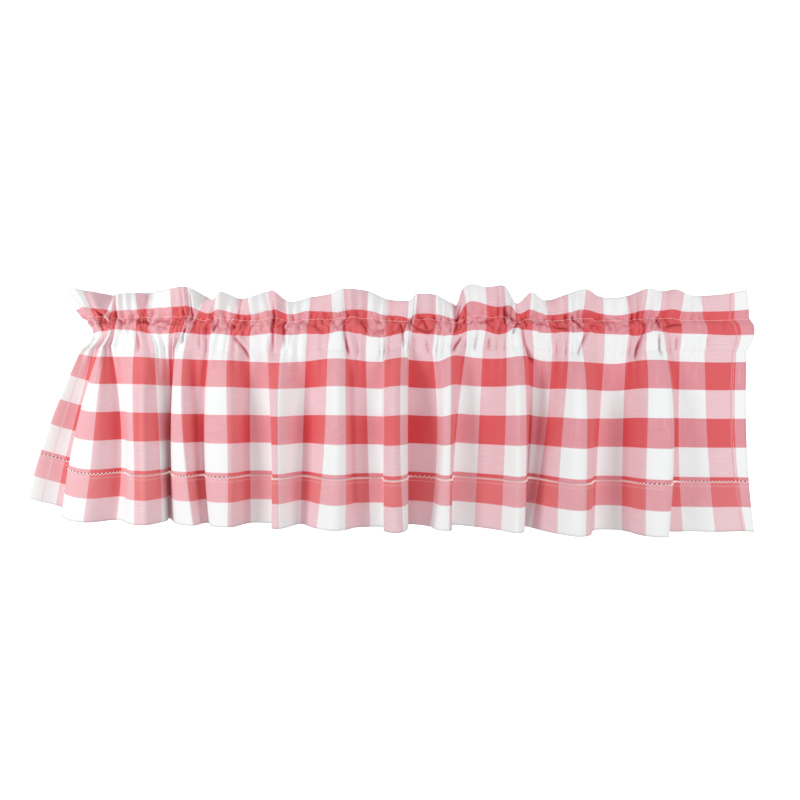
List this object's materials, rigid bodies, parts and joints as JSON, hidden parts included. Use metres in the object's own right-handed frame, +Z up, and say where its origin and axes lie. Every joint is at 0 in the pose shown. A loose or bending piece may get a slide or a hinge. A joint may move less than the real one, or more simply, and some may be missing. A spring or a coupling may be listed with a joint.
{
  "type": "gathered rod-pocket window valance",
  "caption": "Short gathered curtain for the top of a window, with a frilled heading, an open rod pocket and a folded skirt with a hemstitched hem.",
  "frame": {"origin": "the hold at the heading's top edge, halfway along the valance", "axes": "+X along the rod towards the right end as seen from the room, +Z up, -Y towards the room"},
  "size_m": [1.1672, 0.0894, 0.3942],
  "materials": {
    "checked_cotton": "matt plain-weave cotton, woven in even red and white checks with pink where the two cross"
  },
  "bodies": {
    "root": {"heading": "checked_cotton", "rod_pocket": "checked_cotton", "skirt": "checked_cotton"}
  },
  "joints": []
}
